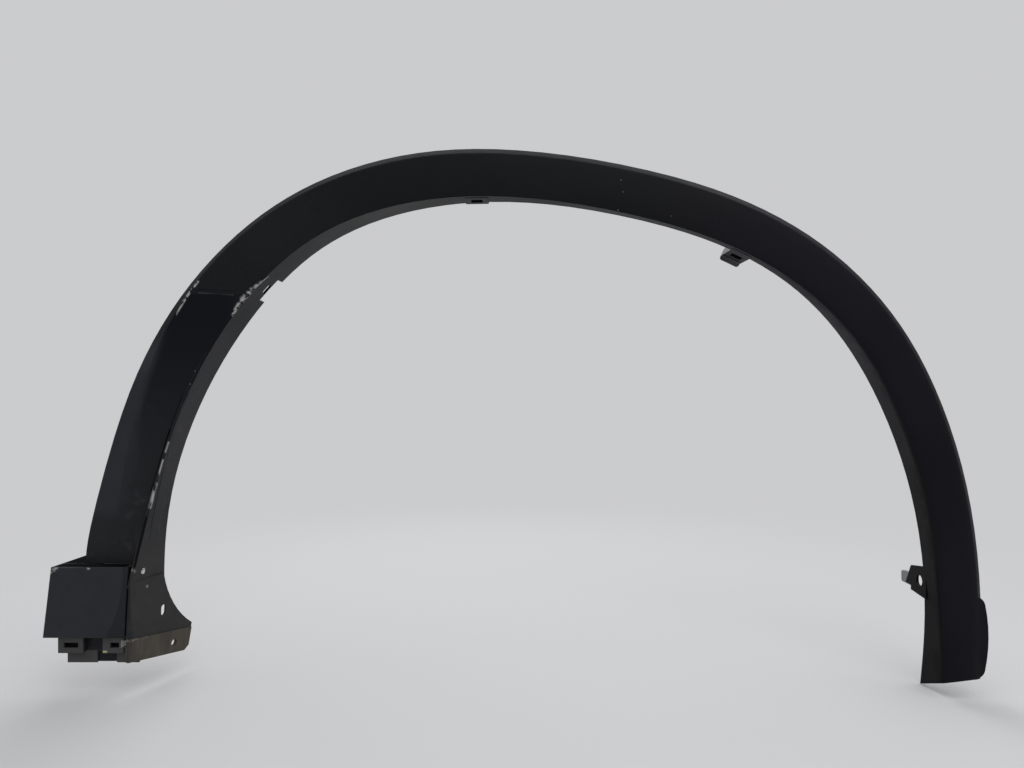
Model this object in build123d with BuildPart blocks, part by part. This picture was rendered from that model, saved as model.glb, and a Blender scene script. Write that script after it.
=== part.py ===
from build123d import *
import os
from collections import namedtuple
from math import atan2, cos, degrees, radians, sin, tan

# Black moulded trim for a front wheel arch of a car, with the clips that hold it.
# Millimetres. +X points to the rear of the car, +Y into the car, +Z up.
# The origin is the centre of the screw hole in the rear tab.

# Shell of the moulding
WALL = 2.8
CROWN = 1.2
EDGE_CHAMFER = 1.0
CORNER_FACETS = 3
OVERLAP = 1.4
CUT = 40.0

# Arch, drawn in polar form about the wheel centre
ARCH_RADIUS = 460.0
FACE_WIDTH = 49.0
EDGE_BEVEL = 7.0
EDGE_DROP = 7.0

# Each section of the arch: its angle (0 is rearward, 90 is up), how far the edge of the
# opening lies outside ARCH_RADIUS, the face's width over FACE_WIDTH, the bevel's width over
# EDGE_BEVEL, the lip's depth, the lip's lean into the opening, the sinking of the face below
# the edge, and the rounding of the edge.
Section = namedtuple("Section", "angle rise widen bevel lip lean sink corner")
SECTIONS = [
    Section(178.5, 13.0, -5.0, 16.0, 47.0, 19.0, 17.0, 1.2),
    Section(170.0, 3.0, -5.0, 20.3, 47.0, 5.0, 12.0, 1.2),
    Section(161.0, 2.5, -3.0, 16.0, 47.0, 0.0, 7.0, 1.2),
    Section(150.0, 11.0, 4.0, 6.5, 54.0, 0.0, 2.0, 1.2),
    Section(137.0, 23.0, 8.0, 0.0, 60.0, 0.0, 0.0, 1.2),
    Section(122.0, 32.7, 2.0, 0.0, 55.0, 0.0, 0.0, 1.2),
    Section(107.0, 21.5, 1.0, 0.0, 42.0, 0.0, 0.0, 1.2),
    Section(92.0, 4.5, 0.0, 0.0, 25.0, 0.0, 0.0, 1.2),
    Section(77.0, -2.7, 0.0, 0.0, 18.5, 0.0, 0.0, 1.4),
    Section(62.0, 4.5, 0.0, 0.0, 17.5, 0.0, 0.0, 1.8),
    Section(50.0, 11.9, -1.0, 0.0, 24.0, 0.0, 0.0, 4.0),
    Section(38.0, 13.0, -2.5, 0.0, 37.0, 0.0, 0.0, 6.0),
    Section(26.0, 6.2, -3.0, 0.0, 38.0, 0.0, 0.0, 6.5),
    Section(14.0, 1.6, -4.5, 0.0, 36.0, 0.0, 0.0, 6.5),
    Section(2.0, 1.5, -5.5, 0.0, 35.0, 0.0, 0.0, 6.5),
    Section(-6.0, 8.0, -8.0, 0.0, 40.0, 1.0, 0.0, 6.5),
    Section(-15.0, 21.0, -10.0, 0.0, 46.0, 3.0, 0.0, 6.5),
]

# Fin: the lip's front edge, where it stands proud of the sunk face on the front leg
FIN_SECTIONS = SECTIONS[:5]
GROOVE_SECTIONS = FIN_SECTIONS[:-1]
FIN_INSET = 0.3
FIN_FLARE = 0.12
FIN_CHAMFER = 0.8
GROOVE_WIDTH = 3.0
GROOVE_SHARE = 0.1

# Front end box, measured from the lower front end of the edge
BOX_GAP = 3.0
BOX_GAP_DEPTH = 9.0
BOX_RISE = 25.0
BOX_WIDTH = 88.5
BOX_HEIGHT = 81.5
BOX_DEPTH = 27.0
BOX_FLARE = 9.5
BOX_RAKE = 6.0
BOX_POCKET = 9.0
BOX_POCKET_DEPTH = 16.0
BOX_CHAMFER = 0.9
BOX_DRAFT = 14.0
FACET_CIRCLE = 145.0
FACET_TILT = 13.0
FACET_BACK = 151.0
FACET_DROP = 7.4
GUSSET_WIDTH = 31.0
GUSSET_HEIGHT = 10.0
GUSSET_DROP = 5.4

# Rail with slotted housings under the box, measured from the box's lower rear corner
RAIL_SET_BACK = 8.0
RAIL_DEPTH = 12.0
RAIL_TOP = 2.0
HOUSING_DROP = 20.0
LUG_DROP = 34.0
FRONT_HOUSING = (79.0, 50.0)
REAR_HOUSING = (27.0, -2.0)
FRONT_LUG = (73.0, 38.0)
REAR_LUG = (15.0, -11.0)
SLOT_HEIGHT = 6.0
SLOT_DROP = 10.8
FRONT_SLOT = (72.5, 55.5)
REAR_SLOT = (18.5, 8.0)
REAR_WINDOW = (6.0, -1.5)

# Lower fixing plate, in its own plane: along it into the car, and up
PLATE_LEAN = 0.4
PLATE_STEP = 1.0
PLATE_TOP = 8.0
PLATE_WAIST = 48.0
PLATE_REACH = 98.0
PLATE_TIP = 66.0
PLATE_DROP = 98.0
PLATE_HOLLOW = 8.0
PLATE_CORNER = 5.0
PLATE_SLANT = 12.0
BEAD_WIDTH = 5.0
BEAD_STEP = 1.0
STRIP_TOP = 59.0
STRIP_STEP = 1.6
PLATE_SLOT = 13.5
PLATE_SLOT_WIDTH = 7.2
PLATE_SLOT_AT = (50.5, -37.5)
PLATE_HOLE_RADIUS = 4.25
PLATE_HOLE_AT = (68.5, -83.0)
LIP_HOLE_RADIUS = 3.5
LIP_HOLE_ANGLE = 176.2
LIP_HOLE_DEPTH = 14.0

# Rear foot, whose pad bulges past the leg
FOOT_SET_BACK = 0.5
FOOT_DEPTH = 12.0
FOOT_TOP = 8.0
FOOT_DROP = 97.0
FOOT_INSET = 38.0
FOOT_BULGE = 57.0
FOOT_SIDE = 6.0
FOOT_CORNER = 12.0
FOOT_TILT = 7.0
FOOT_SLOPE = 20.7

# Tabs on the lip
TAB_STEP = 0.6
TAB_START = 8.0
TAB_HEIGHT = 12.0
TAB_ROUND = 3.0
WINDOW_WIDTH = 13.5
WINDOW_DEPTH = 14.0
TOP_TAB_ANGLE = 99.0
TOP_TAB_WIDTH = 28.0
TOP_TAB_DEPTH = 38.0
TOP_WINDOW_AT = 24.0
SIDE_TAB_ANGLE = 59.6
SIDE_TAB_WIDTH = 25.0
SIDE_TAB_DEPTH = 60.0
SIDE_WINDOW_AT = 33.0
SIDE_RIM = 5.0
REAR_TAB_ANGLE = 1.4
REAR_TAB_RISE = 20.0
REAR_TAB_DROP = 19.0
REAR_TAB_REACH = 33.0
REAR_TAB_STEP = 13.0
REAR_TAB_ROOT = 15.0
REAR_HOLE_RADIUS = 6.75
REAR_HOLE_DEPTH = 45.0

# Notch and window in the lip, at the front shoulder
NOTCH_ANGLE = 132.0
NOTCH_WIDTH = 33.0
NOTCH_DEPTH = 17.0
NOTCH_WINDOW = 11.0
NOTCH_WINDOW_AT = 35.0

# Ribs, clip towers and push clips on the back
RIB_ANGLES = (152.0, 130.0, 108.0, 84.0, 62.0, 40.0, 20.0)
RIB_THICKNESS = 2.0
RIB_DEPTH = 12.0
CLIP_ANGLES = (163.0, 141.0, 119.0, 96.0, 73.0, 51.0, 30.0, 11.0)
TOWER_ACROSS = 24.0
TOWER_WIDTH = 16.0
TOWER_LENGTH = 18.0
TOWER_TOP = 7.0
TOWER_PLATE = 1.8
TOWER_WALL = 1.8
CLIP_FIT = 0.2
CLIP_NECK_RADIUS = 2.5
CLIP_BASE_RADIUS = 5.8
CLIP_BASE = 1.2
CLIP_WASHER_RADIUS = 7.0
CLIP_WASHER = 1.0
CLIP_WASHER_TAPER = 20.0
CLIP_SIDES = 8
CLIP_STEM_RADIUS = 2.6
CLIP_STEM_PLATE = 1.6
CLIP_BARB_RADIUS = 3.8
CLIP_BARB = 4.5
CLIP_BARBS = 2

# Grey clip that lies on the far side of the rear tab
TAB_CLIP_LENGTH = 39.0
TAB_CLIP_HEIGHT = 14.0
TAB_CLIP_PLATE = 2.0
TAB_CLIP_HEAD = 12.0
TAB_CLIP_HEAD_DEPTH = 5.0
TAB_CLIP_START = 10.0


def on_arch(angle, radius):
    return Vector(radius * cos(radians(angle)), 0, radius * sin(radians(angle)))


# The edge of the opening about the wheel centre, front end first
edge = Edge.make_spline([on_arch(s.angle, ARCH_RADIUS + s.rise) for s in SECTIONS])


def share_at(angle):
    """How far along the edge, from 0 to 1, an angle about the wheel centre lies."""
    low = 0.0
    high = 1.0
    for _ in range(40):
        middle = (low + high) / 2
        place = edge.position_at(middle)
        if degrees(atan2(place.Z, place.X)) > angle:
            low = middle
        else:
            high = middle
    return low


def section_value(angle, name):
    """A section's value at any angle, in straight steps between the sections."""
    for front, rear in zip(SECTIONS, SECTIONS[1:]):
        if front.angle >= angle >= rear.angle:
            share = (front.angle - angle) / (front.angle - rear.angle)
            start = getattr(front, name)
            return start + share * (getattr(rear, name) - start)


# Two places on the edge, and the wheel centre as seen from the rear tab's hole
toe = edge.position_at(0.0)
rear_edge = edge.position_at(share_at(REAR_TAB_ANGLE))
wheel = Vector(TAB_STEP - WALL / 2 - rear_edge.X, -REAR_HOLE_DEPTH, -rear_edge.Z)


def arch_plane(share):
    """Plane across the arch: x away from the wheel, y out of the car, z along the edge."""
    along = edge.tangent_at(share)
    place = wheel + edge.position_at(share)
    return Plane(origin=place, x_dir=(-along.Z, 0, along.X), z_dir=along)


def lip_plane(angle, proud):
    """Plane on the lip: x along the edge, y into the car, z towards the wheel."""
    across = arch_plane(share_at(angle))
    place = across.origin - across.x_dir * proud
    return Plane(origin=place, x_dir=-across.z_dir, z_dir=-across.x_dir)


def face_plane(depth):
    """Plane behind the edge, seen from outside: x to the rear and y up from the wheel centre."""
    return Plane(origin=wheel + Vector(0, depth, 0), x_dir=(1, 0, 0), z_dir=(0, -1, 0))


def back_plane(angle, depth):
    """Plane behind the middle of the face that looks into the car: x away from the wheel."""
    across = arch_plane(share_at(angle))
    place = across.origin + across.x_dir * TOWER_ACROSS + Vector(0, depth, 0)
    return Plane(origin=place, x_dir=across.x_dir, z_dir=(0, 1, 0))


def span(left, right, low, high):
    """Rectangle between two x values and two y values of the sketch."""
    with Locations(((left + right) / 2, (low + high) / 2)):
        Rectangle(abs(right - left), abs(high - low))


def outer_section(s):
    """Section of the trim, with its open back closed by one straight line."""
    lean = s.lean / s.lip
    face = FACE_WIDTH + s.widen
    outer = (face, -s.sink)
    heel = (face + EDGE_BEVEL + s.bevel, -s.sink - EDGE_DROP)
    rounding = []
    for step in range(CORNER_FACETS + 1):
        turn = radians(90) * step / CORNER_FACETS
        depth = s.sink + s.corner * (1 - sin(turn))
        rounding.append((s.corner * (1 - cos(turn)) - lean * depth, -depth))
    with BuildSketch(arch_plane(share_at(s.angle))) as sketch:
        with BuildLine():
            ThreePointArc(rounding[-1], (face / 2, CROWN - s.sink), outer)
            Polyline(outer, heel, (-s.lean, -s.lip), *rounding)
        make_face()
        chamfer(sketch.vertices().sort_by_distance(outer)[0], EDGE_CHAMFER)
    return sketch.sketch


def hollow_section(s):
    """Space inside the same section, one wall in from it and open to the back."""
    lean = s.lean / s.lip
    face = FACE_WIDTH + s.widen
    turn = atan2(EDGE_DROP, EDGE_BEVEL + s.bevel)
    top = -s.sink - WALL
    back = s.lip + CUT
    inner = (WALL + lean * top, top)
    outer = (face - WALL * tan(turn / 2), top)
    past_heel = (outer[0] + back * cos(turn), top - back * sin(turn))
    with BuildSketch(arch_plane(share_at(s.angle))) as sketch:
        with BuildLine():
            ThreePointArc(inner, (face / 2, CROWN + top), outer)
            Polyline(outer, past_heel, (WALL - lean * back, -back), inner)
        make_face()
        chamfer(sketch.vertices().sort_by_distance(inner)[0], max(s.corner - WALL, WALL / 4))
    return sketch.sketch


def strip_section(s, left, right, top, bottom, edge_cut):
    """Four-sided section that follows the lip's lean between two depths behind the edge."""
    lean = s.lean / s.lip
    with BuildSketch(arch_plane(share_at(s.angle))) as sketch:
        Polygon(
            (left - lean * top, -top),
            (right - lean * top, -top),
            (right - lean * bottom, -bottom),
            (left - lean * bottom, -bottom),
            align=None,
        )
        if edge_cut:
            chamfer(sketch.vertices().group_by(Axis.Y)[-1], edge_cut)
    return sketch.sketch


def fin_section(s):
    """Fin on the lip, thicker the deeper the face is sunk beside it."""
    return strip_section(s, FIN_INSET, WALL + FIN_FLARE * s.sink, 0, s.sink + OVERLAP, FIN_CHAMFER)


def groove_section(s):
    """Groove in the face along the foot of the fin."""
    left = WALL + FIN_FLARE * s.sink - FIN_INSET
    floor = s.sink * (1 + GROOVE_SHARE)
    return strip_section(s, left, left + GROOVE_WIDTH, s.sink - CROWN, floor, 0)


with BuildPart() as arch_hollow:
    loft([hollow_section(s) for s in SECTIONS])

with BuildPart() as groove:
    loft([groove_section(s) for s in GROOVE_SECTIONS])

with BuildPart() as fin:
    loft([fin_section(s) for s in FIN_SECTIONS])

# Front end box: flares to its open back, with a facet cut by a large ball on its rear side
box_right = toe.X - BOX_GAP
box_left = box_right - BOX_WIDTH
box_top = toe.Z + BOX_RISE
box_bottom = box_top - BOX_HEIGHT
rail_corner = box_right - BOX_RAKE
facet_ball = FACET_CIRCLE / sin(radians(FACET_TILT))
facet_depth = FACET_CIRCLE / tan(radians(FACET_TILT))
box_ways = (Vector(0, BOX_DEPTH, 0), Vector(-BOX_DRAFT, BOX_DEPTH, 0))


def box_outline(depth, hollow):
    """Outline of the box, or of its hollow, at a depth behind the edge."""
    with BuildSketch(face_plane(depth)) as sketch:
        Polygon(
            (box_right, box_top),
            (rail_corner, box_bottom),
            (box_left - BOX_FLARE, box_bottom),
            (box_left, box_top),
            align=None,
        )
        if hollow:
            offset(amount=-WALL)
            with Locations((box_left, box_top)):
                Rectangle(2 * BOX_WIDTH, 2 * (BOX_POCKET + WALL), mode=Mode.SUBTRACT)
    return sketch.sketch


with BuildPart() as front_box:
    for way in box_ways:
        extrude(box_outline(0, False), amount=way.length, dir=way)
    chamfer(front_box.faces().sort_by(Axis.Y)[0].edges(), BOX_CHAMFER)
    with Locations(wheel + Vector(box_right - FACET_BACK, facet_depth, box_top - FACET_DROP)):
        Sphere(facet_ball, mode=Mode.INTERSECT)
    hollow_top = box_top - BOX_POCKET - WALL
    for way in box_ways:
        extrude(box_outline(2 * WALL, True), amount=way.length, dir=way, mode=Mode.SUBTRACT)
    # Web that carries the box's front upper corner to the leg, with the box cut back above it
    web_low = (box_left - BOX_DRAFT, box_top - GUSSET_DROP)
    web_high = (box_left + GUSSET_WIDTH, box_top + GUSSET_HEIGHT)
    with BuildSketch(face_plane(BOX_DEPTH)):
        Polygon(
            web_low,
            web_high,
            (box_left - BOX_DRAFT - BOX_FLARE, box_top + GUSSET_HEIGHT),
            (box_left - BOX_DRAFT - BOX_FLARE, box_top - GUSSET_DROP),
            align=None,
        )
    extrude(amount=BOX_DEPTH - WALL, mode=Mode.SUBTRACT)
    with BuildSketch(face_plane(BOX_DEPTH)):
        Polygon(
            (box_left - BOX_DRAFT, hollow_top),
            web_low,
            web_high,
            (box_left + GUSSET_WIDTH + WALL, hollow_top),
            align=None,
        )
    extrude(amount=WALL)
    # Floor of the gap between the box and the fin
    with BuildSketch(face_plane(BOX_GAP_DEPTH + WALL)):
        Polygon(
            (box_right - OVERLAP, box_top),
            (rail_corner - OVERLAP, box_bottom),
            (rail_corner + BOX_GAP + WALL + OVERLAP, box_bottom),
            (box_right + BOX_GAP + WALL + OVERLAP, box_top),
            align=None,
        )
    extrude(amount=WALL)

with BuildPart() as pocket:
    with BuildSketch(face_plane(WALL + BOX_POCKET_DEPTH)):
        span(box_left - BOX_DRAFT, box_right - WALL, box_top - BOX_POCKET, box_top + OVERLAP)
    extrude(amount=BOX_POCKET_DEPTH)

# Rail with slotted housings under the box
with BuildPart() as rail:
    rail_back = RAIL_SET_BACK + RAIL_DEPTH
    housing_low = box_bottom - HOUSING_DROP
    with BuildSketch(face_plane(rail_back)):
        span(rail_corner - FRONT_HOUSING[0], rail_corner - REAR_HOUSING[1], housing_low, box_bottom + RAIL_TOP)
        for lug in (FRONT_LUG, REAR_LUG):
            span(rail_corner - lug[0], rail_corner - lug[1], box_bottom - LUG_DROP, housing_low + WALL)
    extrude(amount=WALL)
    with BuildSketch(face_plane(rail_back)):
        for housing in (FRONT_HOUSING, REAR_HOUSING):
            span(rail_corner - housing[0], rail_corner - housing[1], housing_low, box_bottom + RAIL_TOP)
    extrude(amount=RAIL_DEPTH)
    slot_middle = box_bottom - SLOT_DROP
    slot_low = slot_middle - SLOT_HEIGHT / 2
    slot_high = slot_middle + SLOT_HEIGHT / 2
    with BuildSketch(face_plane(rail_back - WALL)):
        for slot in (FRONT_SLOT, REAR_SLOT):
            span(rail_corner - slot[0], rail_corner - slot[1], slot_low, slot_high)
    extrude(amount=RAIL_DEPTH, mode=Mode.SUBTRACT)
    with BuildSketch(face_plane(rail_back)):
        span(rail_corner - REAR_WINDOW[0], rail_corner - REAR_WINDOW[1], slot_low, slot_high + WALL)
    extrude(amount=RAIL_DEPTH, mode=Mode.SUBTRACT)

# Lower fixing plate: its plane leans into the opening and follows the rake of the box
plate_along = Vector(PLATE_LEAN, 1, 0)
plate_up = Vector(BOX_RAKE, 0, BOX_HEIGHT)
plate_plane = Plane(
    origin=wheel + toe,
    x_dir=plate_along,
    z_dir=plate_along.cross(plate_up),
).offset(PLATE_STEP)
plate_foot = (PLATE_REACH - PLATE_SLANT, -PLATE_DROP)
plate_end = (PLATE_REACH - PLATE_CORNER, -PLATE_DROP + PLATE_CORNER)
plate_front = (0, -PLATE_DROP + PLATE_SLANT)

with BuildPart() as plate:
    with BuildSketch(plate_plane):
        with BuildLine():
            SagittaArc((PLATE_WAIST, PLATE_TOP), (PLATE_REACH, -PLATE_TIP), -PLATE_HOLLOW)
            Polyline(
                (PLATE_REACH, -PLATE_TIP),
                plate_end,
                plate_foot,
                plate_front,
                (0, PLATE_TOP),
                (PLATE_WAIST, PLATE_TOP),
            )
        make_face()
    extrude(amount=-WALL)
    with BuildSketch(plate_plane):
        Polygon(
            (0, -STRIP_TOP),
            (PLATE_REACH - OVERLAP, -PLATE_TIP - PLATE_CORNER),
            plate_end,
            plate_foot,
            plate_front,
            align=None,
        )
    extrude(amount=STRIP_STEP)
    with BuildSketch(plate_plane):
        span(0, BEAD_WIDTH, plate_front[1], PLATE_TOP)
    extrude(amount=-WALL - BEAD_STEP)
    with BuildSketch(plate_plane.offset(-CUT / 2)):
        with Locations(PLATE_SLOT_AT):
            SlotOverall(PLATE_SLOT, PLATE_SLOT_WIDTH, rotation=90)
        with Locations(PLATE_HOLE_AT):
            Circle(PLATE_HOLE_RADIUS)
    extrude(amount=CUT, mode=Mode.SUBTRACT)

# Rear foot: hollow pad, and the sloping cut of the leg's end
foot_left = rear_edge.X + FOOT_INSET
foot_right = rear_edge.X + FOOT_BULGE
foot_top = rear_edge.Z - FOOT_TOP
foot_tilt = tan(radians(FOOT_TILT))
foot_slope = tan(radians(FOOT_SLOPE))
foot_low = FOOT_INSET * foot_tilt - FOOT_DROP
heel_low = (FOOT_BULGE - FOOT_SIDE) * foot_tilt - FOOT_DROP


def foot_outline(depth, inset):
    """Outline of the foot's pad at a depth behind the edge, drawn in by an inset."""
    shoulder = (foot_right - FOOT_SIDE, foot_top)
    heel = (foot_right - FOOT_SIDE, heel_low)
    with BuildSketch(face_plane(depth)) as sketch:
        with BuildLine():
            ThreePointArc(shoulder, (foot_right, (foot_top + foot_low) / 2), heel)
            Polyline(heel, (foot_left, foot_low), (foot_left, foot_top), shoulder)
        make_face()
        fillet(sketch.vertices().group_by(Axis.X)[-1], FOOT_CORNER)
        offset(amount=-inset)
    return sketch.sketch


with BuildPart() as foot_hollow:
    extrude(foot_outline(FOOT_DEPTH + CUT, WALL), amount=FOOT_DEPTH + CUT - FOOT_SET_BACK - WALL)

with BuildPart() as foot_pad:
    extrude(foot_outline(FOOT_DEPTH, 0), amount=FOOT_DEPTH - FOOT_SET_BACK)
    chamfer(foot_pad.faces().sort_by(Axis.Y)[0].edges(), EDGE_CHAMFER)

with BuildPart() as foot_cut:
    leg_end = wheel + Vector(rear_edge.X, 0, -FOOT_DROP)
    with BuildSketch(Plane(origin=leg_end, x_dir=(0, 1, -foot_slope), z_dir=(-foot_tilt, foot_slope, 1))):
        Rectangle(2 * FOOT_DROP, 2 * FOOT_DROP)
    extrude(amount=-FOOT_DROP)


def lip_window(angle, depth, width, height):
    """Solid that cuts a rectangle through the lip, at a depth behind the edge."""
    with BuildPart() as window:
        with BuildSketch(lip_plane(angle, WALL)):
            with Locations((0, depth)):
                Rectangle(width, height)
        extrude(amount=-3 * WALL)
    return window.part


def tab_house(angle, width, depth):
    """Hollow tab that stands on the back of the lip."""
    middle = (TAB_START + depth) / 2
    length = depth - TAB_START
    with BuildPart() as house:
        with BuildSketch(lip_plane(angle, TAB_STEP)):
            with Locations((0, middle)):
                RectangleRounded(width, length, TAB_ROUND)
        extrude(amount=-TAB_HEIGHT)
        with BuildSketch(lip_plane(angle, TAB_STEP - WALL)):
            with Locations((0, middle)):
                Rectangle(width - 2 * WALL, length - 2 * WALL)
        extrude(amount=2 * WALL - TAB_HEIGHT, mode=Mode.SUBTRACT)
    return house.part


def rib(angle):
    """Thin gusset across the channel behind the face."""
    sink = section_value(angle, "sink")
    face = FACE_WIDTH + section_value(angle, "widen")
    top = -sink - WALL / 2
    inner = (WALL / 2, top)
    outer = (face - WALL, top)
    with BuildPart() as gusset:
        with BuildSketch(arch_plane(share_at(angle))):
            with BuildLine():
                ThreePointArc(inner, (face / 2, top + CROWN), outer)
                Polyline(
                    outer,
                    (face + EDGE_BEVEL - 2 * WALL, -sink - EDGE_DROP),
                    (WALL / 2, -sink - RIB_DEPTH),
                    inner,
                )
            make_face()
        extrude(amount=RIB_THICKNESS / 2, both=True)
    return gusset.part


def tower(angle):
    """Clip tower with a slot that a clip's neck slides into from the side."""
    sink = section_value(angle, "sink")
    floor = sink + WALL - CROWN
    top = sink + TOWER_TOP
    neck = CLIP_NECK_RADIUS + CLIP_FIT
    with BuildPart() as house:
        with BuildSketch(back_plane(angle, floor - OVERLAP)):
            Rectangle(TOWER_WIDTH, TOWER_LENGTH)
        extrude(amount=top - floor + OVERLAP)
        with BuildSketch(back_plane(angle, floor)):
            with Locations((0, TOWER_WALL)):
                Rectangle(TOWER_WIDTH - 2 * TOWER_WALL, TOWER_LENGTH)
        extrude(amount=top - TOWER_PLATE - floor, mode=Mode.SUBTRACT)
        with BuildSketch(back_plane(angle, top - 2 * TOWER_PLATE)):
            Circle(neck)
            span(-neck, neck, 0, TOWER_LENGTH)
        extrude(amount=3 * TOWER_PLATE, mode=Mode.SUBTRACT)
    return house.part


# What stands on the moulding, and what is cut through its lip
top_tab = tab_house(TOP_TAB_ANGLE, TOP_TAB_WIDTH, TOP_TAB_DEPTH)
side_tab = tab_house(SIDE_TAB_ANGLE, SIDE_TAB_WIDTH, SIDE_TAB_DEPTH)
ribs = [rib(angle) for angle in RIB_ANGLES]
towers = [tower(angle) for angle in CLIP_ANGLES]
notch_edge = section_value(NOTCH_ANGLE, "lip")
lip_cuts = [
    lip_window(NOTCH_ANGLE, notch_edge, NOTCH_WIDTH, 2 * NOTCH_DEPTH),
    lip_window(NOTCH_ANGLE, NOTCH_WINDOW_AT, NOTCH_WINDOW, NOTCH_WINDOW),
    lip_window(TOP_TAB_ANGLE, TOP_WINDOW_AT, WINDOW_WIDTH, WINDOW_DEPTH),
    lip_window(SIDE_TAB_ANGLE, SIDE_WINDOW_AT, WINDOW_WIDTH, WINDOW_DEPTH),
]

# Half of the clip's barbed stem, from its foot to its tip
stem_outline = [(0, 0), (CLIP_STEM_RADIUS, 0)]
for barb in range(CLIP_BARBS):
    barb_foot = barb * CLIP_BARB + CLIP_BARB / 2
    stem_outline.append((CLIP_STEM_RADIUS, barb_foot))
    stem_outline.append((CLIP_BARB_RADIUS, barb_foot))
    stem_outline.append((CLIP_STEM_RADIUS, (barb + 1) * CLIP_BARB))
stem_outline += [(0, CLIP_BARBS * CLIP_BARB + CLIP_STEM_RADIUS), (0, 0)]

# Rim on the side tab's back edge, turned towards the wheel
with BuildPart() as side_rim:
    with BuildSketch(back_plane(SIDE_TAB_ANGLE, SIDE_TAB_DEPTH - WALL)):
        with Locations((TAB_START - TOWER_ACROSS - SIDE_RIM, 0)):
            RectangleRounded(2 * TAB_START, SIDE_TAB_WIDTH, TAB_ROUND)
    extrude(amount=WALL)

# Rear tab, whose screw hole is the origin
with BuildPart() as rear_tab:
    tab_step = REAR_TAB_REACH - REAR_TAB_STEP
    with BuildSketch(Plane.YZ.offset(-WALL / 2)):
        Polygon(
            (-REAR_TAB_ROOT, REAR_TAB_RISE),
            (tab_step, REAR_TAB_RISE - 2 * TAB_ROUND),
            (REAR_TAB_REACH, TAB_ROUND - REAR_TAB_STEP),
            (tab_step, TAB_ROUND - REAR_TAB_STEP),
            (tab_step, TAB_ROUND - REAR_TAB_DROP),
            (-REAR_TAB_ROOT, -REAR_TAB_DROP),
            align=None,
        )
        Circle(REAR_HOLE_RADIUS, mode=Mode.SUBTRACT)
    extrude(amount=WALL)

# Small hole at the front end of the lip
with BuildPart() as lip_hole:
    with BuildSketch(lip_plane(LIP_HOLE_ANGLE, CUT / 2)):
        with Locations((0, LIP_HOLE_DEPTH)):
            Circle(LIP_HOLE_RADIUS)
    extrude(amount=-CUT / 2 - 2 * WALL)

with BuildPart() as arch_moulding:
    loft([outer_section(s) for s in SECTIONS])
    add([arch_hollow.part, groove.part, foot_cut.part], mode=Mode.SUBTRACT)
    add([fin.part, foot_pad.part, front_box.part, rail.part, plate.part])
    add([top_tab, side_tab, side_rim.part, rear_tab.part, *ribs, *towers])
    add([foot_hollow.part, pocket.part, lip_hole.part, *lip_cuts], mode=Mode.SUBTRACT)

# Push clips: base, neck and washer, and a stem of two crossed plates with barbs
with BuildPart() as retaining_clips:
    for angle in CLIP_ANGLES:
        sink = section_value(angle, "sink")
        tower_top = sink + TOWER_TOP
        base_top = tower_top - TOWER_PLATE - CLIP_FIT
        stem_foot = tower_top + CLIP_FIT + CLIP_WASHER
        with BuildSketch(back_plane(angle, base_top - CLIP_BASE)):
            RegularPolygon(CLIP_BASE_RADIUS, CLIP_SIDES)
        extrude(amount=CLIP_BASE)
        with BuildSketch(back_plane(angle, base_top)):
            RegularPolygon(CLIP_NECK_RADIUS, CLIP_SIDES)
        extrude(amount=TOWER_PLATE + 2 * CLIP_FIT)
        with BuildSketch(back_plane(angle, tower_top + CLIP_FIT)):
            RegularPolygon(CLIP_WASHER_RADIUS, CLIP_SIDES)
        extrude(amount=CLIP_WASHER, taper=CLIP_WASHER_TAPER)
        across = back_plane(angle, stem_foot)
        for plate_dir in (across.x_dir, across.y_dir):
            stem_plane = Plane(origin=across.origin, x_dir=plate_dir, z_dir=plate_dir.cross(across.z_dir))
            with BuildSketch(stem_plane):
                with BuildLine():
                    Polyline(stem_outline)
                make_face()
                mirror(about=Plane.YZ)
            extrude(amount=CLIP_STEM_PLATE / 2, both=True)

# Grey clip, flat against the far side of the rear tab
with BuildPart() as rear_tab_clip:
    clip_end = TAB_CLIP_START + TAB_CLIP_LENGTH
    with BuildSketch(Plane.YZ.offset(WALL / 2)):
        with Locations(((TAB_CLIP_START + clip_end) / 2, TAB_ROUND / 2 - TAB_CLIP_HEIGHT / 2)):
            RectangleRounded(TAB_CLIP_LENGTH, TAB_CLIP_HEIGHT, TAB_ROUND)
    extrude(amount=TAB_CLIP_PLATE)
    with BuildSketch(Plane.YZ.offset(WALL / 2)):
        with Locations((clip_end - TAB_CLIP_HEAD / 2, TAB_ROUND / 2 - TAB_CLIP_HEIGHT / 2)):
            RectangleRounded(TAB_CLIP_HEAD, TAB_CLIP_HEIGHT, TAB_ROUND)
    extrude(amount=TAB_CLIP_HEAD_DEPTH)

os.makedirs("parts", exist_ok=True)
for piece, name in (
    (arch_moulding, "arch_moulding"),
    (retaining_clips, "retaining_clips"),
    (rear_tab_clip, "rear_tab_clip"),
):
    piece.part.label = name
    export_step(piece.part, f"parts/{name}.step")
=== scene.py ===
import math

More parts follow.
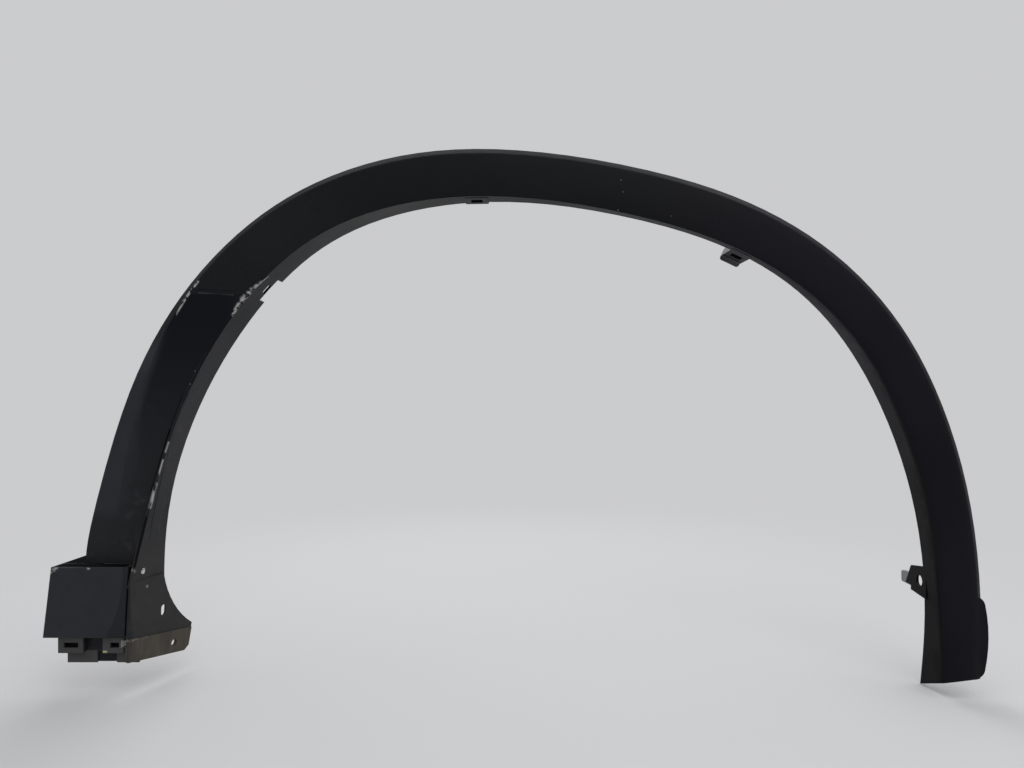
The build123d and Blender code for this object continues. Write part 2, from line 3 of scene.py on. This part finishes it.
import bmesh
import bpy
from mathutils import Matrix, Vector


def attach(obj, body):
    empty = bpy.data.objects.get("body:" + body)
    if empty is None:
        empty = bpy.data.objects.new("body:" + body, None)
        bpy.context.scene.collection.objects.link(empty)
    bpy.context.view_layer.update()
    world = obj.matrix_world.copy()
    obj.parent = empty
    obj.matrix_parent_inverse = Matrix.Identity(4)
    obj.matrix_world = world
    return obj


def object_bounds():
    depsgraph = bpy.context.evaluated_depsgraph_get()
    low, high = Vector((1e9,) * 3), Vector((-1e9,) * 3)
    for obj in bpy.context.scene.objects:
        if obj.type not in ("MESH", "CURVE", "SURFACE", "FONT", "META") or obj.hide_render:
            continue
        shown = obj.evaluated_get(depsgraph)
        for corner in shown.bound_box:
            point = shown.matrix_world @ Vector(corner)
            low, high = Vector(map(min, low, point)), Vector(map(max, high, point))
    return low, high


# Black wheel arch trim: moulded shell, push clips on its back and a grey clip on its rear tab.
# Metres, in the frame of the solids: +X to the rear of the car, +Y into it, +Z up.
# Only the lines and points of the marks and the outline of the web are in millimetres.

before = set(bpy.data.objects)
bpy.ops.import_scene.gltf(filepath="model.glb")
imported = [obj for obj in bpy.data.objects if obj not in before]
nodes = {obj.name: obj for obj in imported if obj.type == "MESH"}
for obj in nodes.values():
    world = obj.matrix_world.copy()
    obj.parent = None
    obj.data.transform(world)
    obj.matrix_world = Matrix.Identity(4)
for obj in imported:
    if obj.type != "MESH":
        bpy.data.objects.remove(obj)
cad_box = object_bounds()
scene = bpy.context.scene

# Black of the moulding by place, a painted shade on the rear lip, and its dark lines: a painted shadow
# and a painted shade line at a crease
REAR_BLACK = (0.0056, 0.0053, 0.0085, 1)
TOP_BLACK = (0.0047, 0.0056, 0.0067, 1)
FRONT_BLACK = (0.0094, 0.0103, 0.0118, 1)
# Painted shade of the rear lip
LIP_SHADE_BLACK = (0.0010, 0.0010, 0.0018, 1)
UPPER_LEG = (0.0032, 0.0037, 0.0062, 1)
LOWER_LEG = (0.0185, 0.0192, 0.0220, 1)
SHADOW = (0.0012, 0.0012, 0.0016, 1)
# Painted shade line above the crease
CREASE_SHADE_BLACK = (0.0012, 0.0012, 0.0018, 1)

# Film, dust and mud on it, what scraping lays bare, and painted light: a sheen on the leg's bevel, a
# reflection on the tab's rim, highlights on the box and a crease, and light seen through holes
# Painted sheen on the front leg's outer bevel
BEVEL_SHEEN = (0.0290, 0.0300, 0.0370, 1)
BLOTCH_FILM = (0.052, 0.053, 0.056, 1)
BOX_FILM = (0.0320, 0.0335, 0.0405, 1)
PLATE_FILM = (0.0410, 0.0395, 0.0390, 1)
RAIL_FILM = (0.0820, 0.0800, 0.0780, 1)
# Painted reflection on the side tab's rim
RIM_REFLECTION = (0.150, 0.150, 0.155, 1)
DUST = (0.15, 0.145, 0.14, 1)
MUD = (0.105, 0.094, 0.072, 1)
PALE_MUD = (0.26, 0.24, 0.20, 1)
# Pale of scraped marks, also used for painted highlights
SCRAPE_AND_HIGHLIGHT_PALE = (0.42, 0.42, 0.41, 1)
# Pale painted on the walls of holes, as light seen through them
THROUGH_LIGHT_PALE = (0.80, 0.80, 0.79, 1)
OLIVE = (0.42, 0.42, 0.24, 1)

# Grey clip plastic and the grime on it
CLIP_DARK = (0.165, 0.165, 0.177, 1)
CLIP_LIGHT = (0.212, 0.210, 0.221, 1)
CLIP_GRIME = (0.06, 0.058, 0.055, 1)

# Room: floor, backdrop and sky
FLOOR_DARK = (0.64, 0.642, 0.652, 1)
FLOOR_LIGHT = (0.66, 0.662, 0.672, 1)
BACKDROP = (0.60, 0.602, 0.612, 1)
SKY = (0.86, 0.865, 0.88, 1)
SKY_STRENGTH = 0.42
FLOOR_REACH = 14.0
FLOOR_FADE = (0.6, 1.5)

# Regions of the moulding: each fade names what it reads, where it is 0 and where it is 1.
# It reads a place (x, y, z), or how far the surface turns to the rear (side) or upwards (up).
REAR_LIP = (("x", -0.15, -0.09), ("side", -0.72, -0.95), ("z", 0.30, 0.10))
LEG = (("x", -0.79, -0.83), ("z", 0.3425, 0.3405))
LEG_BEVEL = (("side", -0.05, -0.12), ("z", 0.075, 0.095), ("z", 0.31, 0.27))
BOX = (("x", -0.9365, -0.9375), ("z", 0.030, 0.027), ("z", -0.058, -0.0565))
BOX_FRONT = (("y", -0.030, -0.034),)
PLATE = (("x", -0.9365, -0.9345), ("x", -0.82, -0.86), ("z", 0.085, 0.015))
RAIL = (("x", -0.9465, -0.9480), ("z", -0.0570, -0.0585))
RAIL_FRONT = (("y", -0.0335, -0.0355),)
RAIL_LUGS = (("z", -0.0745, -0.0757), ("y", -0.0252, -0.0262))
TAB_BACK = (("y", 0.006, 0.010),)
DUSTY = (("up", 0.1, 0.9), ("x", -0.94, -0.90))
MUD_STRIP = (("x", -0.9455, -0.9430), ("x", -0.82, -0.86))
LEDGE_FRONT = (("y", -0.014, -0.024),)
# Walls of the lip's hole and of the rail's window, painted pale as light seen through them
HOLE_WALL = (("side", 0.7, 0.5), ("x", -0.9325, -0.9315))
RAIL_WINDOW = (
    ("x", -0.9513, -0.9507),
    ("x", -0.9493, -0.9499),
    ("y", -0.0368, -0.0364),
    ("z", -0.0750, -0.0745),
    ("z", -0.0610, -0.0615),
)
BOX_SHELF = (("up", 0.6, 0.8), ("y", -0.030, -0.028))
SIDE_WALLS = (("side", 0.55, 0.85),)

# Cut facet of the box, painted in shade: outside a circle about this centre, on the front, the box's
# film thins by this share
FACET_CENTRE = (-1.0892, 0.0, 0.0187)
FACET_FADE = (0.1444, 0.1456)
FACET_FRONT = (("y", -0.034, -0.036),)
FACET_SHADE = 0.72

# Where one black or grey turns into the next, along x or down the front leg
REAR_TO_TOP = (-0.20, -0.45)
TOP_TO_FRONT = (-0.52, -0.80)
LEG_GREYING = (0.33, 0.09)
LEG_BLOTCHING = (0.25, 0.10)

# Values of a noise between which a fade runs
CLOUDS = (0.35, 0.65)
SKIN_CLOUDS = (0.3, 0.7)
PATCHES = (0.30, 0.70)
BLOTCHES = (0.54, 0.70)
DRIFTS = (0.42, 0.72)
MUD_STREAKS = (0.25, 0.75)
MUD_CRUMBS = (0.42, 0.60)
RUB_FLECKS = (0.35, 0.55)
CORNER_FLECKS = (0.42, 0.50)
EDGE_FLECKS = (0.42, 0.54)
BOX_HIGHLIGHT_FLECKS = (0.40, 0.55)
GRIME_PATCHES = (0.52, 0.70)

# Least and most that each of these covers, and the range of the bare black
FILM_COVER = (0.72, 1.0)
DUST_COVER = (0.01, 0.06)
MUD_COVER = (0.25, 0.80)
BLACK_RANGE = (0.80, 1.20)

# Parts of the coarse and the fine noise in the unevenness
CLOUD_PART = 0.6
FINE_PART = 0.4

# Roughness of the satin skins and of what is dull, and how dull the rear lip and the walls are
SATIN = (0.42, 0.54)
CLIP_SATIN = (0.38, 0.52)
DULL = 0.85
LIP_DULLNESS = 0.30
WALL_DULLNESS = 0.10

# Specular level of the black and of the clips
BLACK_SPECULAR = 0.10
CLIP_SPECULAR = 0.4

# Moulded grain in the bump
GRAIN_SCALE = 1100.0
GRAIN_HEIGHT = 0.6
SCRAPE_AND_HIGHLIGHT_HEIGHT = 0.8

# The mud's upper edge sinks by this slope from the front of the plate towards the car
MUD_FRONT = 0.045
MUD_SLOPE = 0.133
MUD_EDGE = (-0.0565, -0.0590)
LEDGE_EDGE = (-0.0612, -0.0590)

# Lines of the marks: start, end and reach to each side, in mm
TAB_RIM_REFLECTION = ((-232, 13, 394), (-209, 13, 381), 14)
FIN_FOOT = (
    ((-930.5, -45, 27), (-916.8, -45, 84), 2.2),
    ((-916.8, -43, 84), (-914, -36.6, 114.5), 2.4),
    ((-914, -36.6, 114.5), (-891, -41.1, 184.6), 2.4),
)
LIP_RUB = ((-910.6, -3.2, 90.5), (-911.6, -4.2, 86), 5.0)
CORNER_SCRAPES = (
    ((-817.3, -44.9, 317.5), (-810, -45.2, 330), 3.4),
    ((-806.2, -45.2, 334.8), (-795, -45.1, 346), 4.6),
    ((-791, -45, 350), (-784, -43, 355.8), 3.2),
    ((-783.8, -43.2, 355.8), (-778, -39.3, 362.2), 2.6),
)
EDGE_SCRAPES = (
    ((-883.1, -44.8, 317.5), (-868.6, -44.9, 340.6), 1.9),
    ((-868.6, -44.9, 340.6), (-857.1, -45, 356.2), 2.2),
    ((-877, -44, 331.5), (-864, -44.7, 348), 1.6),
)
# Painted highlights along the top edge of the box
BOX_HIGHLIGHTS = (
    ((-1028, -45, 20), (-1021, -45, 25), 3.4),
    ((-984, -45, 25), (-983, -45, 25), 2.4),
    ((-935, -44, 24), (-929, -44, 21), 2.6),
)
PLATE_SPOT = ((-925.8, -23.8, -0.7), (-926, -23, -1.5), 2.6)
# Painted highlight along a crease of the front leg, and a painted shade line above it
CREASE_HIGHLIGHT = ((-856, -45.5, 343), (-816, -45.5, 340.5), 1.0)
CREASE_SHADE = ((-856, -45.5, 347), (-812, -45.5, 345), 1.6)
LIP_HOLE = ((-929.5, -31, 19), (-929.5, -31, 19), 7.5)
OLIVE_PATCH = ((-970.2, -37, -73.8), (-967.2, -37, -73.8), 2.4)

# Values of a line's mask between which its edge is drawn
LINE_EDGE = (0.0, 0.6)
HOLE_EDGE = (0.25, 0.40)
OLIVE_PATCH_EDGE = (0.3, 0.6)

# How strongly the fainter marks cover what is under them
BOX_HIGHLIGHT_SHARE = 0.8
PLATE_SPOT_SHARE = 0.45
SPECK_SHARE = 0.5
GRIME_SHARE = 0.35

# Scrapes on the fin's edge: line, fade of the streaks that break it up, strength
FIN_SCRAPES = (
    (((-911.5, -44.5, 96), (-905.5, -45, 122), 4.2), (0.36, 0.48), 1.0),
    (((-904.8, -45, 125), (-897.5, -45, 150), 1.5), (0.40, 0.50), 1.0),
    (((-894.5, -45, 159.5), (-891, -45, 170.5), 1.8), (0.30, 0.40), 0.7),
)

# Pale specks: two on the front leg, four on the face to the rear of its top
SPECK_REACH = 1.1
SPECKS = (
    (-860.8, -44.2, 252.9),
    (-866.3, -45, 237.9),
    (-369.1, -45.6, 473.1),
    (-366.8, -45.8, 459.3),
    (-372.5, -45.2, 438.6),
    (-311.3, -45.1, 431.7),
)

# Shading of the solids: weld of doubled points, angle of a sharp edge, x where the crisp faces end,
# and the weight that lets the larger faces set the normals
WELD_REACH = 0.00002
SHARP_ANGLE = math.radians(34)
SOFT_FROM = -0.18
LARGE_FACES = 100

# Web of the rail, in mm: outline in x and z, front and back in y, and the rounding of its edges
WEB_OUTLINE = (
    (-986, -70),
    (-955.5, -70),
    (-955.5, -87.2),
    (-957.5, -89.0),
    (-983, -89.0),
    (-986, -86.5),
)
WEB_FRONT = -25.0
WEB_BACK = -22.8
WEB_ROUNDING = 0.4
WEB_SEGMENTS = 2

# Lamps: name, place, width and power in watts, all turned to the middle of the arch
LAMPS = (
    ("key", (-0.1, 0.1, 2.5), 4.4, 50),
    ("fill", (0.3, -2.4, 1.8), 2.0, 14),
    ("rear", (-0.9, 2.4, 1.5), 2.0, 20),
)
LIT_POINT = (-0.46, 0.0, 0.2)

# Camera, held level, with its lens and sensor in mm
CAMERA_PLACE = (-0.494744, -0.945, 0.237918)
LENS = 27.42
SENSOR = 36.0
LEVEL = math.radians(90)

# Least squared length of a line, so that a point counts as a line too
TINY = 1e-12


def mm(*values):
    return tuple(v / 1000 for v in values)


class Graph:
    """One tree of shader nodes, with short calls for the maths between them."""

    def __init__(self, tree):
        self.tree = tree
        self.tree.nodes.clear()

    def add(self, kind, inputs=None, **settings):
        node = self.tree.nodes.new(kind)
        for key, value in settings.items():
            setattr(node, key, value)
        for key, value in (inputs or {}).items():
            self.put(node.inputs[key], value)
        return node

    def put(self, socket, value):
        if isinstance(value, bpy.types.NodeSocket):
            self.tree.links.new(value, socket)
        else:
            socket.default_value = value

    def math(self, operation, *values, clamp=False):
        inputs = dict(enumerate(values))
        return self.add("ShaderNodeMath", inputs, operation=operation, use_clamp=clamp).outputs[0]

    def vector(self, operation, *values, out="Vector"):
        inputs = dict(enumerate(values))
        return self.add("ShaderNodeVectorMath", inputs, operation=operation).outputs[out]

    def scale(self, value, factor):
        """Vector or colour times a number."""
        inputs = {0: value, "Scale": factor}
        return self.add("ShaderNodeVectorMath", inputs, operation="SCALE").outputs["Vector"]

    def split(self, value):
        return self.add("ShaderNodeSeparateXYZ", {0: value}).outputs

    def ramp(self, value, low, high, start=0.0, end=1.0):
        """Smooth step of a value from start at low to end at high."""
        inputs = {"Value": value, "From Min": low, "From Max": high, "To Min": start, "To Max": end}
        return self.add("ShaderNodeMapRange", inputs, interpolation_type="SMOOTHSTEP").outputs["Result"]

    def most(self, *masks):
        result = masks[0]
        for mask in masks[1:]:
            result = self.math("MAXIMUM", result, mask)
        return result

    def times(self, *masks):
        result = masks[0]
        for mask in masks[1:]:
            result = self.math("MULTIPLY", result, mask)
        return result

    # The Mix node has its numbers on sockets 2 and 3, and its colours on 6 and 7
    def mix(self, share, first, second):
        """Colour between two colours by a mask."""
        return self.add("ShaderNodeMix", {0: share, 6: first, 7: second}, data_type="RGBA").outputs[2]

    def blend(self, share, first, second):
        """Number between two numbers by a mask."""
        return self.add("ShaderNodeMix", {0: share, 2: first, 3: second}, data_type="FLOAT").outputs[0]

    def backdrop_rays(self):
        """1 for rays that show the plain backdrop: from the camera, off a gloss and through glass."""
        rays = self.add("ShaderNodeLightPath").outputs
        return self.most(rays["Is Camera Ray"], rays["Is Glossy Ray"], rays["Is Transmission Ray"])


class Surface(Graph):
    """One material, with masks made from the place of each point."""

    def __init__(self, name):
        self.material = bpy.data.materials.new(name)
        self.material.use_nodes = True
        super().__init__(self.material.node_tree)
        self.place = self.add("ShaderNodeTexCoord").outputs["Object"]

    def noise(self, scale, detail=2.0, stretch=(1, 1, 1), roughness=0.5):
        place = self.vector("MULTIPLY", self.place, stretch)
        inputs = {"Vector": place, "Scale": scale, "Detail": detail, "Roughness": roughness}
        return self.add("ShaderNodeTexNoise", inputs).outputs["Fac"]

    def along(self, start, end, reach):
        """1 on the line between two points, falling to 0 at a reach away from it, all in mm."""
        first = mm(*start)
        line = [b - a for a, b in zip(first, mm(*end))]
        squared = max(sum(v * v for v in line), TINY)
        offset = self.vector("SUBTRACT", self.place, first)
        forward = self.vector("DOT_PRODUCT", offset, line, out="Value")
        share = self.math("DIVIDE", forward, squared, clamp=True)
        away = self.vector("DISTANCE", offset, self.scale(line, share), out="Value")
        return self.ramp(away, 0.0, reach / 1000, 1.0, 0.0)

    def lines(self, table):
        return self.most(*[self.along(*line) for line in table])

    def bump(self, height, strength, distance):
        inputs = {"Strength": strength, "Distance": distance, "Height": height}
        return self.add("ShaderNodeBump", inputs).outputs[0]

    def principled(self, **inputs):
        named = {key.replace("_", " "): value for key, value in inputs.items()}
        return self.add("ShaderNodeBsdfPrincipled", named).outputs[0]

    def finish(self, shader):
        self.add("ShaderNodeOutputMaterial", {0: shader})
        return self.material


class Moulding(Surface):
    """Black moulded plastic, painted from the bare black to the marks of use on top of it."""

    def __init__(self):
        super().__init__("black_plastic")
        x, y, z = self.split(self.place)
        side, _, up = self.split(self.add("ShaderNodeNewGeometry").outputs["Normal"])
        self.reads = {"x": x, "y": y, "z": z, "side": side, "up": up}
        self.fine = self.noise(scale=420.0, detail=2.0)
        patches = self.noise(scale=34.0, detail=4.0, roughness=0.6)
        self.film = self.ramp(patches, *PATCHES, *FILM_COVER)
        cloud = self.noise(scale=9.0, detail=3.0)
        self.shade = self.math("ADD", self.times(cloud, CLOUD_PART), self.times(self.fine, FINE_PART))
        self.lip = self.region(REAR_LIP)
        self.box = self.region(BOX)
        self.colour = self.bare_black()

    def region(self, fades):
        """1 where all the fades of a region are 1."""
        return self.times(*[self.ramp(self.reads[name], none, full) for name, none, full in fades])

    def paint(self, mask, colour, share=1.0):
        """Lays a colour over what is there, by a mask and at most at a share."""
        self.colour = self.mix(self.times(mask, share), self.colour, colour)

    def bare_black(self):
        """A little uneven: bluish at the rear, more neutral over the top, paler towards the front."""
        x = self.reads["x"]
        rear_part = self.mix(self.ramp(x, *REAR_TO_TOP), REAR_BLACK, TOP_BLACK)
        tint = self.mix(self.ramp(x, *TOP_TO_FRONT), rear_part, FRONT_BLACK)
        return self.scale(tint, self.ramp(self.shade, *CLOUDS, *BLACK_RANGE))

    def shade_rear_lip(self):
        """Painted shade on the rear lip, deeper towards the foot."""
        self.paint(self.lip, LIP_SHADE_BLACK)

    def front_leg(self):
        """Blue-black under the crease, greyer and blotched lower down, with a painted sheen on its
        outer bevel.
        """
        z = self.reads["z"]
        leg = self.region(LEG)
        self.paint(leg, self.mix(self.ramp(z, *LEG_GREYING), UPPER_LEG, LOWER_LEG))
        # Painted sheen on the outer bevel, patchy by the film's noise
        self.paint(self.times(leg, self.region(LEG_BEVEL), self.film), BEVEL_SHEEN)
        blotch = self.ramp(self.noise(scale=52.0, detail=5.0, roughness=0.6), *BLOTCHES)
        self.paint(self.times(leg, self.ramp(z, *LEG_BLOTCHING), blotch), BLOTCH_FILM, share=0.35)

    def road_film(self):
        """Film on the box, thinned on its cut facet as painted shade, on the plate and the rail, and a
        painted reflection on the side tab's rim.
        """
        in_plane = self.vector("MULTIPLY", self.place, (1, 0, 1))
        from_centre = self.vector("DISTANCE", in_plane, FACET_CENTRE, out="Value")
        facet = self.times(self.ramp(from_centre, *FACET_FADE), self.region(FACET_FRONT))
        # The facet's film is thinned as painted shade
        unshaded_share = self.math("SUBTRACT", 1.0, self.times(facet, FACET_SHADE))
        self.paint(self.times(self.box, self.film, unshaded_share, self.region(BOX_FRONT)), BOX_FILM)
        self.paint(self.times(self.region(PLATE), self.film), PLATE_FILM)
        rail = self.times(self.region(RAIL), self.most(self.region(RAIL_FRONT), self.region(RAIL_LUGS)))
        self.paint(self.times(rail, self.film), RAIL_FILM)
        # Painted reflection on the side tab's rim
        rim = self.times(self.along(*TAB_RIM_REFLECTION), self.region(TAB_BACK))
        self.paint(self.times(rim, self.film), RIM_REFLECTION, share=0.85)

    def thin_dust(self):
        """Dust where the surface looks up, away from the box."""
        drift = self.ramp(self.noise(scale=28.0, detail=4.0, roughness=0.6), *DRIFTS)
        self.dust = self.times(self.region(DUSTY), self.blend(drift, *DUST_COVER))
        self.paint(self.dust, DUST)

    def dried_mud(self):
        """Mud on the lower strip of the fixing plate, palest along the strip's upper edge."""
        sunk = self.times(self.math("ADD", self.reads["y"], MUD_FRONT), MUD_SLOPE)
        below = self.math("ADD", self.reads["z"], sunk)
        strip = self.times(self.ramp(below, *MUD_EDGE), self.region(MUD_STRIP))
        streak = self.noise(scale=60.0, detail=4.0, stretch=(1.0, 1.6, 0.35), roughness=0.65)
        self.mud = self.times(strip, self.ramp(streak, *MUD_STREAKS, *MUD_COVER))
        self.paint(self.mud, MUD)
        crumbs = self.ramp(self.noise(scale=190.0, detail=3.0), *MUD_CRUMBS)
        ledge = self.times(strip, self.ramp(below, *LEDGE_EDGE), self.region(LEDGE_FRONT), crumbs)
        self.paint(ledge, PALE_MUD, share=0.55)

    def dark_lines(self):
        """Shadowed line along the foot of the fin, and a dark rub on the lip."""
        line = self.ramp(self.lines(FIN_FOOT), *LINE_EDGE)
        rub = self.times(self.along(*LIP_RUB), self.ramp(self.fine, *RUB_FLECKS))
        self.paint(self.most(line, rub), SHADOW)

    def scrapes_and_highlights(self):
        """Pale scraped marks on the edge of the fin, the inner corner and the outer edge, painted
        highlights on the box's corners, a spot and specks.
        """
        streaks = self.noise(scale=170.0, detail=3.0, stretch=(1.0, 1.0, 0.30))
        corner_noise = self.noise(scale=190.0, detail=4.0, roughness=0.65)
        edge_noise = self.noise(scale=200.0, detail=3.0, stretch=(1.0, 1.0, 0.6))
        fin = [
            self.times(self.along(*line), self.ramp(streaks, *gaps), strength)
            for line, gaps, strength in FIN_SCRAPES
        ]
        specks = self.lines([(point, point, SPECK_REACH) for point in SPECKS])
        self.scrape_and_highlight = self.most(
            *fin,
            self.times(self.lines(CORNER_SCRAPES), self.ramp(corner_noise, *CORNER_FLECKS)),
            self.times(self.lines(EDGE_SCRAPES), self.ramp(edge_noise, *EDGE_FLECKS)),
            self.times(self.lines(BOX_HIGHLIGHTS), self.ramp(self.fine, *BOX_HIGHLIGHT_FLECKS), BOX_HIGHLIGHT_SHARE),
            self.times(self.along(*PLATE_SPOT), PLATE_SPOT_SHARE),
            self.times(specks, SPECK_SHARE),
        )
        self.paint(self.scrape_and_highlight, SCRAPE_AND_HIGHLIGHT_PALE)

    def crease(self):
        """Painted highlight along a crease across the top of the front leg, with a painted shade line
        above it.
        """
        self.paint(self.along(*CREASE_HIGHLIGHT), SCRAPE_AND_HIGHLIGHT_PALE, share=0.13)
        self.paint(self.along(*CREASE_SHADE), CREASE_SHADE_BLACK, share=0.6)

    def through_light_and_olive_patch(self):
        """Walls of the lip's hole and of the rail's window painted pale, as light seen through them,
        and a pale olive patch on the rail.
        """
        hole = self.times(self.along(*LIP_HOLE), self.region(HOLE_WALL))
        self.paint(self.most(self.ramp(hole, *HOLE_EDGE), self.region(RAIL_WINDOW)), THROUGH_LIGHT_PALE)
        self.paint(self.ramp(self.along(*OLIVE_PATCH), *OLIVE_PATCH_EDGE), OLIVE)

    def satin_skin(self):
        """Satin with a fine grain, duller on dirt, scraped marks, painted highlights, the box's shelf,
        the rear lip and walls.
        """
        shelf = self.times(self.box, self.region(BOX_SHELF))
        lip = self.times(self.lip, LIP_DULLNESS)
        walls = self.times(self.region(SIDE_WALLS), WALL_DULLNESS)
        dull = self.most(self.dust, self.mud, self.scrape_and_highlight, shelf, lip, walls)
        satin = self.ramp(self.shade, *SKIN_CLOUDS, *SATIN)
        rough = self.blend(dull, satin, DULL)
        cells = self.add("ShaderNodeTexVoronoi", {"Vector": self.place, "Scale": GRAIN_SCALE})
        pits = self.times(cells.outputs["Distance"], GRAIN_HEIGHT)
        grain = self.math("ADD", pits, self.times(self.fine, GRAIN_HEIGHT))
        height = self.math("ADD", grain, self.times(self.scrape_and_highlight, SCRAPE_AND_HIGHLIGHT_HEIGHT))
        bump = self.bump(height, strength=0.12, distance=0.0004)
        shader = self.principled(
            Base_Color=self.colour,
            Roughness=rough,
            Normal=bump,
            Specular_IOR_Level=BLACK_SPECULAR,
        )
        return self.finish(shader)


def black_plastic():
    moulding = Moulding()
    moulding.shade_rear_lip()
    moulding.front_leg()
    moulding.road_film()
    moulding.thin_dust()
    moulding.dried_mud()
    moulding.dark_lines()
    moulding.scrapes_and_highlights()
    moulding.crease()
    moulding.through_light_and_olive_patch()
    return moulding.satin_skin()


def clip_plastic():
    """Grey plastic, cloudy and with some grime."""
    clip = Surface("clip_plastic")
    cloud = clip.noise(scale=60.0, detail=3.0)
    grime = clip.ramp(clip.noise(scale=150.0, detail=4.0, roughness=0.65), *GRIME_PATCHES)
    grey = clip.mix(clip.ramp(cloud, *CLOUDS), CLIP_DARK, CLIP_LIGHT)
    colour = clip.mix(clip.times(grime, GRIME_SHARE), grey, CLIP_GRIME)
    rough = clip.ramp(cloud, *SKIN_CLOUDS, *CLIP_SATIN)
    bump = clip.bump(clip.noise(scale=700.0, detail=2.0), strength=0.15, distance=0.0003)
    shader = clip.principled(
        Base_Color=colour,
        Roughness=rough,
        Normal=bump,
        Specular_IOR_Level=CLIP_SPECULAR,
    )
    return clip.finish(shader)


def floor_paper(middle):
    """Matt pale paper that fades into the backdrop away from its middle."""
    paper = Surface("floor_paper")
    cloud = paper.noise(scale=0.7, detail=2.0)
    tone = paper.mix(paper.ramp(cloud, *SKIN_CLOUDS), FLOOR_DARK, FLOOR_LIGHT)
    lit = paper.principled(Base_Color=tone, Roughness=0.9, Specular_IOR_Level=0.1)
    plain = paper.add("ShaderNodeEmission", {"Color": BACKDROP, "Strength": 1.0}).outputs[0]
    away = paper.vector("DISTANCE", paper.place, middle, out="Value")
    share = paper.times(paper.ramp(away, *FLOOR_FADE), paper.backdrop_rays())
    return paper.finish(paper.add("ShaderNodeMixShader", {0: share, 1: lit, 2: plain}).outputs[0])


def dress(node, material):
    """Gives a solid its material and smooth shading between its sharp edges."""
    piece = nodes[node]
    mesh = piece.data
    if "custom_normal" in mesh.attributes:
        mesh.attributes.remove(mesh.attributes["custom_normal"])
    mesh.shade_smooth()
    weld = piece.modifiers.new("weld", "WELD")
    weld.merge_threshold = WELD_REACH
    split = piece.modifiers.new("split", "EDGE_SPLIT")
    split.split_angle = SHARP_ANGLE
    # Flat faces keep their own normals, but for the soft inner edge of the rear leg
    crisp = piece.vertex_groups.new(name="crisp")
    crisp.add([v.index for v in mesh.vertices if v.co.x < SOFT_FROM], 1.0, "REPLACE")
    weigh = piece.modifiers.new("weigh", "WEIGHTED_NORMAL")
    weigh.mode = "FACE_AREA_WITH_ANGLE"
    weigh.weight = LARGE_FACES
    weigh.vertex_group = "crisp"
    mesh.materials.clear()
    mesh.materials.append(material)


def rail_web(material):
    """Recessed web that lies on the back of the rail's plate and closes the gap between its lugs."""
    shape = bmesh.new()
    corners = [mm(x, WEB_FRONT, z) for x, z in WEB_OUTLINE]
    sheet = shape.faces.new([shape.verts.new(corner) for corner in corners])
    grown = bmesh.ops.extrude_face_region(shape, geom=[sheet])["geom"]
    moved = [v for v in grown if isinstance(v, bmesh.types.BMVert)]
    bmesh.ops.translate(shape, verts=moved, vec=mm(0, WEB_BACK - WEB_FRONT, 0))
    bmesh.ops.recalc_face_normals(shape, faces=shape.faces)
    mesh = bpy.data.meshes.new("rail_web")
    shape.to_mesh(mesh)
    shape.free()
    mesh.materials.append(material)
    piece = bpy.data.objects.new("rail_web", mesh)
    scene.collection.objects.link(piece)
    rounding = piece.modifiers.new("rounding", "BEVEL")
    rounding.width = WEB_ROUNDING / 1000
    rounding.segments = WEB_SEGMENTS
    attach(piece, "root")


def pale_floor(height):
    """Floor at the height of the trim's lowest point."""
    low, high = -FLOOR_REACH, FLOOR_REACH
    mesh = bpy.data.meshes.new("floor")
    corners = [(low, low, height), (high, low, height), (high, high, height), (low, high, height)]
    mesh.from_pydata(corners, [], [(0, 1, 2, 3)])
    mesh.materials.append(floor_paper((LIT_POINT[0], LIT_POINT[1], height)))
    floor = bpy.data.objects.new("floor", mesh)
    scene.collection.objects.link(floor)


def room_light():
    """Soft light from all round, behind a plain backdrop."""
    world = bpy.data.worlds.new("room")
    scene.world = world
    world.use_nodes = True
    room = Graph(world.node_tree)
    sky = room.add("ShaderNodeBackground", {"Color": SKY, "Strength": SKY_STRENGTH}).outputs[0]
    plain = room.add("ShaderNodeBackground", {"Color": BACKDROP, "Strength": 1.0}).outputs[0]
    shown = room.add("ShaderNodeMixShader", {0: room.backdrop_rays(), 1: sky, 2: plain}).outputs[0]
    room.add("ShaderNodeOutputWorld", {0: shown})


def area_light(name, place, size, power):
    lamp = bpy.data.lights.new(name, "AREA")
    lamp.shape = "DISK"
    lamp.size = size
    lamp.energy = power
    rig = bpy.data.objects.new(name, lamp)
    rig.location = place
    towards = Vector(LIT_POINT) - Vector(place)
    rig.rotation_euler = towards.to_track_quat("-Z", "Y").to_euler()
    scene.collection.objects.link(rig)


def photo_camera():
    """Camera at the photo's place: level with the middle of the opening, square to the face."""
    view = bpy.data.cameras.new("camera")
    view.lens = LENS
    view.sensor_width = SENSOR
    camera = bpy.data.objects.new("camera", view)
    camera.location = CAMERA_PLACE
    camera.rotation_euler = (LEVEL, 0, 0)
    scene.collection.objects.link(camera)
    bpy.context.scene.camera = camera


black = black_plastic()
clip = clip_plastic()
dress("arch_moulding", black)
dress("retaining_clips", clip)
dress("rear_tab_clip", clip)
rail_web(black)

# A pale floor, a large lamp overhead, and one before and behind
pale_floor(cad_box[0].z)
room_light()
for settings in LAMPS:
    area_light(*settings)
photo_camera()
bpy.context.scene.view_settings.view_transform = "Standard"
